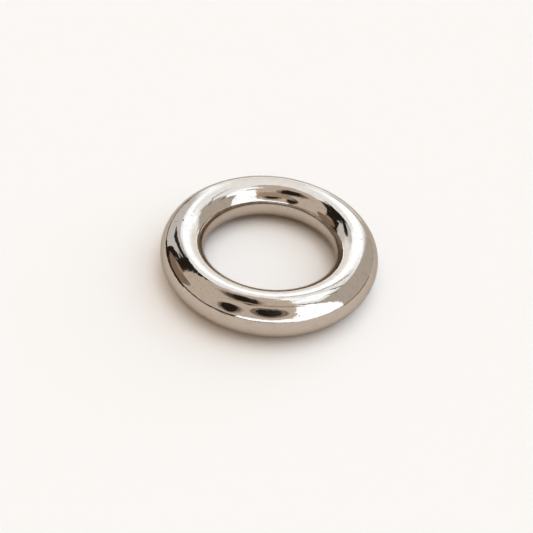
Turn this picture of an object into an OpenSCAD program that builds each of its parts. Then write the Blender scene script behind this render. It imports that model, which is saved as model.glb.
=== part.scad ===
// A solid metal ring of round section, such as joins straps, cords and snap hooks on
// bags, belts and harness. It is cast in one piece, with no joint or weld, and polished
// all over, so both its eye and its outside are fully round.

/* [Eye] */
// Clear diameter of the eye, at its narrowest
eye_d = 19.05; // [8:0.05:60]

/* [Bar] */
// Diameter of the round bar that runs round the eye
bar_d = 6.35; // [2:0.05:16]

/* [Hidden] */

// Radius of the circle that the middle of the bar follows
middle_r = (eye_d + bar_d) / 2;

// Sides of the bar and of the ring where they are drawn as a mesh
bar_sides = 64;
ring_sides = 144;

nickel = [0.80, 0.78, 0.74];

// The bar's round section, standing off the ring's axis by middle_r and touching z = 0
module bar_section() {
    translate([middle_r, bar_d / 2])
        circle(d = bar_d, $fn = bar_sides);
}

// The ring lies flat, with its axis on Z and its lowest line on z = 0
module ring() {
    color(nickel)
        rotate_extrude($fn = ring_sides)
            bar_section();
}

ring();
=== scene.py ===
"""A solid metal ring of round section, nickel-plated and mirror-polished, lying flat on a
pale sweep of paper in soft studio light."""

import math

import bmesh
import bpy
from mathutils import Matrix, Vector, noise


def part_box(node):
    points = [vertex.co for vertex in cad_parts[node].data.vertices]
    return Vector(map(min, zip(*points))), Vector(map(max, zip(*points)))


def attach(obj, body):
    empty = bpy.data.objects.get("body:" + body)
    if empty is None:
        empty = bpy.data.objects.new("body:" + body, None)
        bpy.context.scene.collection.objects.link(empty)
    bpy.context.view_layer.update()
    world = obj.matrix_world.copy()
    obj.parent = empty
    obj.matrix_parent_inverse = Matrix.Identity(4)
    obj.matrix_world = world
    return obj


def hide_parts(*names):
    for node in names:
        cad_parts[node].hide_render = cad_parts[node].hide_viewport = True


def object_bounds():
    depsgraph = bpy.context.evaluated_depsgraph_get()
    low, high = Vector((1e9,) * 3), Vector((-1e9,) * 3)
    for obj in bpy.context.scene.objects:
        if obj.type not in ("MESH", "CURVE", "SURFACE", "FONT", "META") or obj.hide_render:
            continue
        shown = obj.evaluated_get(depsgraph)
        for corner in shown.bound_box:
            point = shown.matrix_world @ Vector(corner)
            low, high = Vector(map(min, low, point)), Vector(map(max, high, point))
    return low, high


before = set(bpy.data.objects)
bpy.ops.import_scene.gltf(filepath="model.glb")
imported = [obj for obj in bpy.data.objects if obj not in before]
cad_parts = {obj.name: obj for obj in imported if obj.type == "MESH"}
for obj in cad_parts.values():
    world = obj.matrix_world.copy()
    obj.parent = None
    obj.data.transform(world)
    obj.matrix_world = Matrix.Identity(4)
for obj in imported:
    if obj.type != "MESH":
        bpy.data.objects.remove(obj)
cad_low, cad_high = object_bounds()

# ---- The ring -------------------------------------------------------------------------
# One closed ring of round bar, cast in steel, nickel-plated and polished on a soft wheel.
# The wheel leaves the round very slightly wavy, so a mirror image in it has uneven edges.

ring_low, ring_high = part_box("ring")
bar_radius = (ring_high.z - ring_low.z) / 2
outer_radius = (ring_high.x - ring_low.x) / 2
middle_radius = outer_radius - bar_radius
centre = (ring_low + ring_high) / 2

sides_of_bar = 174
sides_of_ring = 556
wave_depth = 16e-6
long_share = 0.2
short_share = 0.25
ripple_share = 0.55


def wheel_wave(place):
    """How far the wheel has cut into the round at a place, in metres, and never outwards"""
    long_wave = noise.noise(place * 210)
    short_wave = noise.noise(place * 620 + Vector((7.3, 1.9, 4.4)))
    ripple = noise.noise(place * 1500 + Vector((2.7, 8.1, 5.2)))
    waves = 1 + long_share * long_wave + short_share * short_wave + ripple_share * ripple
    return -wave_depth * waves / 2


shape = bmesh.new()
bmesh.ops.create_circle(
    shape,
    segments=sides_of_bar,
    radius=bar_radius,
    matrix=Matrix.Translation((centre.x + middle_radius, centre.y, centre.z))
    @ Matrix.Rotation(math.radians(90), 4, "X"),
)
bmesh.ops.spin(
    shape,
    geom=shape.verts[:] + shape.edges[:],
    cent=centre,
    axis=(0, 0, 1),
    angle=math.radians(360),
    steps=sides_of_ring,
    use_merge=True,
)
bmesh.ops.recalc_face_normals(shape, faces=shape.faces[:])
for corner in shape.verts:
    outwards = corner.co - centre
    along = Vector((outwards.x, outwards.y, 0)).normalized() * middle_radius
    from_middle = outwards - along
    corner.co += from_middle.normalized() * wheel_wave(outwards)
# Knocks against other metal have left a few small nicks. Shade is painted into them, darker than
# the polish round them.
# Each is given by its place round the ring, its place round the bar, its radius and its depth.
# The mesh is made finer round each, out to so many times its radius.
nicks = [
    (177, 86, 0.17e-3, 26e-6),
    (3, 84, 0.10e-3, 14e-6),
    (-9, 48, 0.11e-3, 12e-6),
    (-72, 40, 0.09e-3, 12e-6),
]
finer_reach = 2.2
finer_cuts = 3
# How deep each spot lies in a nick, which paints shade into its colour and roughens it
nick_shade_layer = shape.verts.layers.float.new("nick")
for round_ring, round_bar, radius, depth in nicks:
    to_bar = Matrix.Rotation(math.radians(round_ring), 4, "Z") @ Vector((middle_radius, 0, 0))
    out_of_bar = (
        Matrix.Rotation(math.radians(round_ring), 4, "Z")
        @ Matrix.Rotation(math.radians(-round_bar), 4, "Y")
        @ Vector((1, 0, 0))
    )
    spot = centre + to_bar + out_of_bar * bar_radius
    near = [
        edge
        for edge in shape.edges
        if ((edge.verts[0].co + edge.verts[1].co) / 2 - spot).length < finer_reach * radius
    ]
    bmesh.ops.subdivide_edges(shape, edges=near, cuts=finer_cuts, use_grid_fill=True)
    for corner in shape.verts:
        reach = (corner.co - spot).length / radius
        if reach < 1:
            corner.co -= out_of_bar * depth * (1 - reach**2)
            corner[nick_shade_layer] = 1 - reach**2
many_sided = [face for face in shape.faces if len(face.verts) > 4]
bmesh.ops.poke(shape, faces=many_sided)
for face in shape.faces:
    face.smooth = True
ring_mesh = bpy.data.meshes.new("polished_ring")
shape.to_mesh(ring_mesh)
shape.free()
ring = bpy.data.objects.new("polished_ring", ring_mesh)
bpy.context.scene.collection.objects.link(ring)


class Shade:
    """A value on a surface. A sum written on it adds the Math nodes for that sum."""

    def __init__(self, finish, socket):
        self.finish = finish
        self.socket = socket

    def work(self, operation, first, second):
        return self.finish.node("ShaderNodeMath", {"operation": operation}, {0: first, 1: second})

    def __add__(self, other):
        return self.work("ADD", self, other)

    def __sub__(self, other):
        return self.work("SUBTRACT", self, other)

    def __rsub__(self, other):
        return self.work("SUBTRACT", other, self)

    def __mul__(self, other):
        return self.work("MULTIPLY", self, other)

    def __gt__(self, other):
        return self.work("GREATER_THAN", self, other)

    __radd__ = __add__
    __rmul__ = __mul__

    def between(self, low, high):
        """0 below low, 1 above high, and a soft step from one to the other"""
        settings = {"interpolation_type": "SMOOTHSTEP"}
        sockets = {"Value": self, "From Min": low, "From Max": high}
        return self.finish.node("ShaderNodeMapRange", settings, sockets)


class Finish:
    """The nodes of one material, or of the world, made one at a time"""

    def __init__(self, owner):
        owner.use_nodes = True
        self.owner = owner
        self.tree = owner.node_tree
        self.tree.nodes.clear()

    def node(self, kind, settings, sockets, output=0):
        """Makes a node, sets it, fills its sockets, and gives the value of one output"""
        made = self.tree.nodes.new(kind)
        for name, value in settings.items():
            setattr(made, name, value)
        for name, value in sockets.items():
            if isinstance(value, Shade):
                self.tree.links.new(value.socket, made.inputs[name])
            else:
                made.inputs[name].default_value = value
        return Shade(self, made.outputs[output]) if made.outputs else made


# The polish is orange-peeled and grained, smeared in places and cloudy in others. Fine pits in
# the plating, and the nicks, are rougher and have shade painted dark into their colour. The edge
# of the round mirrors less.
clean_metal = (0.515, 0.435, 0.365, 1)
clouded_metal = (0.465, 0.39, 0.325, 1)
# A dark colour painted into the pits and nicks as shade in the hollows
painted_hollow_shade = (0.12, 0.095, 0.08, 1)
edge_tint = (0.68, 0.65, 0.61, 1)
relief_depth = 6e-6
nickel = Finish(bpy.data.materials.new("polished_nickel"))
place = nickel.node("ShaderNodeTexCoord", {}, {}, "Object")
peel = nickel.node("ShaderNodeTexNoise", {}, {"Vector": place, "Scale": 900.0, "Detail": 2.0})
grain = nickel.node("ShaderNodeTexNoise", {}, {"Vector": place, "Scale": 2800.0, "Detail": 2.0})
smear = nickel.node("ShaderNodeTexNoise", {}, {"Vector": place, "Scale": 240.0, "Detail": 4.0})
cloud = nickel.node("ShaderNodeTexNoise", {}, {"Vector": place, "Scale": 1100.0, "Detail": 4.0})
pit_cell = nickel.node("ShaderNodeTexVoronoi", {}, {"Vector": place, "Scale": 1900.0})
pit_chance = nickel.node("ShaderNodeTexNoise", {}, {"Vector": place, "Scale": 420.0})
pit = (1 - pit_cell.between(0.05, 0.2)) * pit_chance.between(0.42, 0.6)
nick = nickel.node("ShaderNodeAttribute", {"attribute_name": "nick"}, {}, "Fac")
# The pits and nicks, where shade is painted dark into the colour and the polish is rougher
hollow = pit * 0.45 + nick * 1.6
relief = peel * 0.5 + grain * 0.5 - pit * 0.9
bump = nickel.node(
    "ShaderNodeBump", {}, {"Height": relief, "Strength": 1.0, "Distance": relief_depth}
)
polish = nickel.node(
    "ShaderNodeMix",
    {"data_type": "RGBA"},
    {0: cloud.between(0.45, 0.8), 6: clean_metal, 7: clouded_metal},
    2,
)
# Paints the shade into the colour of the pits and nicks
tint = nickel.node(
    "ShaderNodeMix",
    {"data_type": "RGBA"},
    {0: hollow, 6: polish, 7: painted_hollow_shade},
    2,
)
skin = nickel.node(
    "ShaderNodeBsdfPrincipled",
    {},
    {
        "Base Color": tint,
        "Metallic": 1.0,
        "Specular Tint": edge_tint,
        "Roughness": 0.04 + smear.between(0.4, 0.75) * 0.07 + hollow * 0.3,
        "Normal": bump,
    },
)
nickel.node("ShaderNodeOutputMaterial", {}, {"Surface": skin})
ring_mesh.materials.append(nickel.owner)

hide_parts("ring")
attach(ring, "root")

# ---- The paper it lies on ---------------------------------------------------------------
# A wide sheet of warm white paper, pressed flat as far as the view goes. It is matt, and the
# ring just touches it.

paper_size = 0.9
paper = bpy.data.objects.new("paper", bpy.data.meshes.new("paper"))
sheet = bmesh.new()
bmesh.ops.create_grid(sheet, x_segments=1, y_segments=1, size=paper_size)
bmesh.ops.translate(sheet, verts=sheet.verts[:], vec=(0, 0, cad_low.z))
sheet.to_mesh(paper.data)
sheet.free()
bpy.context.scene.collection.objects.link(paper)
paper_finish = Finish(bpy.data.materials.new("white_paper"))
matt = paper_finish.node("ShaderNodeBsdfDiffuse", {}, {"Color": (0.95, 0.914, 0.879, 1)})
paper_finish.node("ShaderNodeOutputMaterial", {}, {"Surface": matt})
paper.data.materials.append(paper_finish.owner)

# ---- The studio ---------------------------------------------------------------------------
# Warm light from all round, a broad cool lamp high on the right and a neutral one overhead, which
# come to plain white together. Boards, windows and flags stand round the ring for its mirror
# finish alone: beige boards and lenses over the front, white at the right, black at the left.

forward = (0, 1, 0)
backward = (0, -1, 0)
rightward = (1, 0, 0)
leftward = (-1, 0, 0)
down = (0, 0, -1)


def studio_card(
    name, place, width, height, light, faces=None, turn=0, corner=0, form="card", soft=0
):
    """A flat glowing card at a place measured from the paper under the middle of the ring: x to
    the right, y to the back. It faces the ring, unless faces says where. The turn is about its
    own middle, and a soft edge fades out over that width. Only the finish sees it: none of its
    glow reaches the paper."""
    spot = Vector((centre.x, centre.y, cad_low.z)) + Vector(place)
    look = (Vector(faces) if faces else centre - spot).normalized()
    upright = Vector((0, 1, 0)) if abs(look.z) > 0.99 else Vector((0, 0, 1))
    side = upright.cross(look).normalized()
    stand = Matrix((side, look.cross(side), look)).transposed().to_4x4()
    face = bmesh.new()
    if form == "card":
        bmesh.ops.create_grid(face, x_segments=1, y_segments=1, size=0.5)
    else:
        bmesh.ops.create_circle(face, cap_ends=True, segments=64, radius=0.5)
    bmesh.ops.scale(face, verts=face.verts[:], vec=(width, height, 1))
    if corner:
        bmesh.ops.bevel(
            face,
            geom=face.verts[:],
            offset=corner,
            segments=8,
            profile=0.5,
            affect="VERTICES",
            material=-1,
        )
    if soft or form == "hoop":
        rim = 0.1 * width if form == "hoop" else soft
        middle = face.faces[:]
        bmesh.ops.inset_region(
            face, faces=middle, thickness=rim, use_boundary=True, use_even_offset=True
        )
        if form == "hoop":
            bmesh.ops.delete(face, geom=middle, context="FACES")
    strength = face.verts.layers.float.new("strength")
    for vertex in face.verts:
        vertex[strength] = 0.0 if soft and vertex.is_boundary else 1.0
    turned = Matrix.Rotation(math.radians(turn), 4, "Z")
    in_place = Matrix.Translation(spot) @ stand @ turned
    bmesh.ops.transform(face, verts=face.verts[:], matrix=in_place)
    card = bpy.data.objects.new(name, bpy.data.meshes.new(name))
    face.to_mesh(card.data)
    face.free()
    bpy.context.scene.collection.objects.link(card)
    lit = Finish(bpy.data.materials.new(name))
    glow = lit.node("ShaderNodeEmission", {}, {"Color": (*light, 1), "Strength": 1.0})
    if soft:
        clear = lit.node("ShaderNodeBsdfTransparent", {}, {})
        amount = lit.node("ShaderNodeAttribute", {"attribute_name": "strength"}, {}, "Fac")
        glow = lit.node("ShaderNodeMixShader", {}, {0: amount, 1: clear, 2: glow})
    bounced = lit.node("ShaderNodeLightPath", {}, {}, "Diffuse Depth") > 0.5
    away = lit.node("ShaderNodeBsdfTransparent", {}, {})
    glow = lit.node("ShaderNodeMixShader", {}, {0: bounced, 1: glow, 2: away})
    lit.node("ShaderNodeOutputMaterial", {}, {"Surface": glow})
    card.data.materials.append(lit.owner)
    card.visible_camera = False
    card.visible_diffuse = False
    card.visible_shadow = False


# How bright each kind of card is, in red, green and blue
white = (2.0, 2.36, 2.78)
pale = (1.5, 1.69, 1.9)
mid = (1.64, 1.87, 2.17)
grey = (0.741, 0.738, 0.72)
glint = (0.57, 0.52, 0.47)
visor = (0.60, 0.485, 0.385)
foot = (0.94, 0.96, 0.98)
taupe = (0.889, 0.834, 0.78)
grey_taupe = (0.86, 0.83, 0.79)
shadow = (0.16, 0.13, 0.10)
brown = (0.36, 0.278, 0.217)
black = (0.028, 0.0235, 0.020)
dark = (0.259, 0.241, 0.211)
cool_grey = (0.98, 1.06, 1.14)
veil = (1.5, 1.62, 1.74)
lens_rim = (0.37, 0.345, 0.305)

# Beige boards over the front
studio_card(
    "front_board", (-0.055, -0.060, 0.0585), 0.186, 0.083, taupe, faces=forward, corner=0.038
)
studio_card("low_board", (-0.084, -0.061, 0.022), 0.120, 0.044, taupe, faces=forward)
studio_card("front_foot", (-0.084, -0.060, 0.009), 0.120, 0.007, black, faces=forward)
studio_card("left_board", (-0.105, -0.075, 0.050), 0.16, 0.10, taupe)
studio_card(
    "top_board", (-0.045, -0.038, 0.060), 0.130, 0.100, taupe, faces=down, turn=-14, corner=0.012
)
studio_card(
    "board_wing", (0.006, -0.038, 0.060), 0.040, 0.085, taupe, faces=down, turn=-21, corner=0.008
)
# A dark room on the left, with a brown board in it and a dark strip of painted shade at its foot
studio_card("dark_back", (-0.24, 0.20, 0.20), 0.60, 0.50, black)
studio_card("black_post", (-0.1005, 0.044, 0.048), 0.020, 0.100, black, faces=rightward, turn=-14)
studio_card(
    "brown_board", (-0.100, 0.004, 0.040), 0.070, 0.060, brown,
    faces=rightward, turn=22, corner=0.022, soft=0.005
)
# A dark strip standing in for the shade at the foot of the boards on the left
studio_card("left_board_foot_shade", (-0.099, 0.016, 0.007), 0.090, 0.013, black, faces=rightward)
studio_card("left_line", (-0.101, -0.045, 0.010), 0.050, 0.008, black, faces=rightward)
# Panels at the back, with dark strips of painted shade at their feet, and a black pole
studio_card(
    "grey_panel", (-0.1228, 0.1388, 0.076), 0.175, 0.163, cool_grey, corner=0.05, soft=0.018
)
studio_card(
    "panel_head", (-0.104, 0.153, 0.165), 0.090, 0.080, cool_grey,
    faces=(0.53, -0.85, 0), soft=0.012
)
# Dark strips standing in for the shade at the feet of the panels
studio_card("back_panel_foot_shade", (-0.117, 0.140, 0.006), 0.165, 0.013, shadow)
studio_card("white_panel_foot_shade", (-0.034, 0.088, 0.007), 0.044, 0.015, shadow, faces=backward)
studio_card(
    "streak", (-0.106, 0.124, 0.118), 0.034, 0.25, black, form="disc", turn=-11, soft=0.004
)
studio_card("pale_panel", (-0.075, 0.224, 0.095), 0.116, 0.21, mid, corner=0.03, soft=0.01)
studio_card(
    "white_panel", (0.003, 0.090, 0.0655), 0.080, 0.1495, white, faces=(0, -1, 0.55), soft=0.014
)
studio_card("panel_side", (0.028, 0.062, 0.034), 0.052, 0.092, white, faces=backward, soft=0.020)
studio_card(
    "side_shade", (0.037, 0.0612, 0.008), 0.046, 0.040, grey_taupe, faces=backward, soft=0.007
)
# Strips and small windows close behind the ring and over it
studio_card("low_veil", (-0.0015, 0.022, 0.001), 0.023, 0.020, foot, faces=backward, soft=0.005)
studio_card("rim_line", (-0.001, 0.0218, 0.0080), 0.020, 0.0014, white, faces=backward)
studio_card("high_veil", (-0.0015, 0.0225, 0.006), 0.023, 0.034, veil, faces=backward, soft=0.006)
studio_card("panel_top", (0.014, 0.027, 0.045), 0.024, 0.004, dark, faces=backward, soft=0.0012)
studio_card("top_window", (0.0185, 0.0025, 0.0455), 0.017, 0.023, white, faces=down, soft=0.003)
studio_card("side_window", (0.008, 0.0095, 0.0455), 0.009, 0.009, white, faces=down, soft=0.002)
studio_card("left_flag", (0.026, 0.012, 0.0450), 0.011, 0.0018, black, faces=down, turn=10)
studio_card("right_flag", (0.031, 0.001, 0.0450), 0.010, 0.0016, black, faces=down, turn=-10)
# A wall and windows at the right and front, with dark strips of painted shade at their feet, and
# the ceiling
studio_card("grey_wall", (0.118, 0.082, 0.10), 0.236, 0.20, grey, faces=leftward)
studio_card("right_window", (0.118, -0.131, 0.102), 0.19, 0.196, white, faces=leftward)
studio_card("front_window", (0.020, -0.200, 0.051), 0.20, 0.062, white, faces=forward)
# Dark strips standing in for the shade at the feet of the windows
studio_card("front_window_foot_shade", (0.020, -0.200, 0.016), 0.20, 0.010, dark, faces=forward)
studio_card("right_window_foot_shade", (0.117, -0.080, 0.008), 0.24, 0.006, dark, faces=leftward)
studio_card("ceiling_front", (0.068, -0.130, 0.20), 0.10, 0.20, white, faces=down)
studio_card("ceiling_back", (0.024, 0.144, 0.20), 0.188, 0.32, pale, faces=down)
studio_card("ceiling_gap", (0.050, -0.023, 0.203), 0.14, 0.03, dark, faces=down)
# The lenses and their hoods
studio_card("lens", (0.0045, -0.044, 0.040), 0.031, 0.040, black, form="disc", soft=0.003)
studio_card("lens_ring", (0.0045, -0.0439, 0.0399), 0.025, 0.033, lens_rim, form="hoop")
studio_card(
    "second_lens", (-0.0235, -0.039, 0.033), 0.023, 0.046, black,
    form="disc", soft=0.005, faces=forward, turn=-13
)
studio_card(
    "third_lens", (-0.0090, -0.0100, 0.056), 0.019, 0.040, black,
    form="disc", soft=0.004, faces=down
)
studio_card(
    "lens_tail", (-0.0155, -0.0065, 0.0562), 0.020, 0.030, shadow,
    form="disc", soft=0.007, faces=down
)
studio_card(
    "brown_glint", (-0.0995, 0.014, 0.057), 0.034, 0.022, glint,
    form="disc", soft=0.010, faces=rightward
)
studio_card("visor", (0.000, -0.017, 0.036), 0.030, 0.030, visor, faces=forward, soft=0.004)

world = bpy.data.worlds.new("studio_air")
bpy.context.scene.world = world
air = Finish(world)
seen = air.node("ShaderNodeLightPath", {}, {}, "Is Camera Ray")
mirrored = air.node("ShaderNodeLightPath", {}, {}, "Is Glossy Ray")
through = air.node("ShaderNodeLightPath", {}, {}, "Is Transmission Ray")
warm_fill = (1.14, 0.985, 0.83, 1)
pale_backdrop = (0.965, 0.94, 0.905, 1)
fill = air.node("ShaderNodeBackground", {}, {"Color": warm_fill, "Strength": 0.45})
backdrop = air.node("ShaderNodeBackground", {}, {"Color": pale_backdrop, "Strength": 1.0})
both = air.node("ShaderNodeMixShader", {}, {0: seen + mirrored + through, 1: fill, 2: backdrop})
air.node("ShaderNodeOutputWorld", {}, {"Surface": both})


def soft_lamp(name, energy, spread, colour, comes_from):
    """A broad lamp, far off, whose light comes from a direction over the width of its spread"""
    lamp = bpy.data.objects.new(name, bpy.data.lights.new(name, "SUN"))
    lamp.data.energy = energy
    lamp.data.angle = math.radians(spread)
    lamp.data.color = colour
    lamp.rotation_mode = "QUATERNION"
    lamp.rotation_quaternion = Vector(comes_from).to_track_quat("Z", "Y")
    lamp.visible_glossy = False
    bpy.context.scene.collection.objects.link(lamp)


soft_lamp(
    "side_lamp", energy=1.42, spread=90, colour=(0.71, 0.987, 1.265), comes_from=(0.61, 0.35, 0.71)
)
soft_lamp("top_lamp", energy=0.86, spread=60, colour=(1.015, 0.977, 0.935), comes_from=(0, 0, 1))

# ---- The camera ---------------------------------------------------------------------------
# A normal lens close to the ring, looking down at it from the front. The camera leans to one
# side by a few degrees, so the ring lies a little turned in the view.

camera_height_angle = math.radians(42.1)
camera_distance = 7.6 * middle_radius
camera_roll = math.radians(6.0)
aim = centre + Vector((-0.016, -0.296, 0)) * middle_radius
camera = bpy.data.objects.new("camera", bpy.data.cameras.new("camera"))
camera.data.sensor_width = 36
camera.data.lens = 44.5
camera.data.clip_start = 0.005
camera.data.clip_end = 10
camera.location = centre + camera_distance * Vector(
    (0, -math.cos(camera_height_angle), math.sin(camera_height_angle))
)
camera.rotation_mode = "QUATERNION"
look = (aim - camera.location).to_track_quat("-Z", "Y")
camera.rotation_quaternion = look @ Matrix.Rotation(camera_roll, 3, "Z").to_quaternion()
bpy.context.scene.collection.objects.link(camera)
bpy.context.scene.camera = camera
bpy.context.scene.view_settings.view_transform = "Standard"
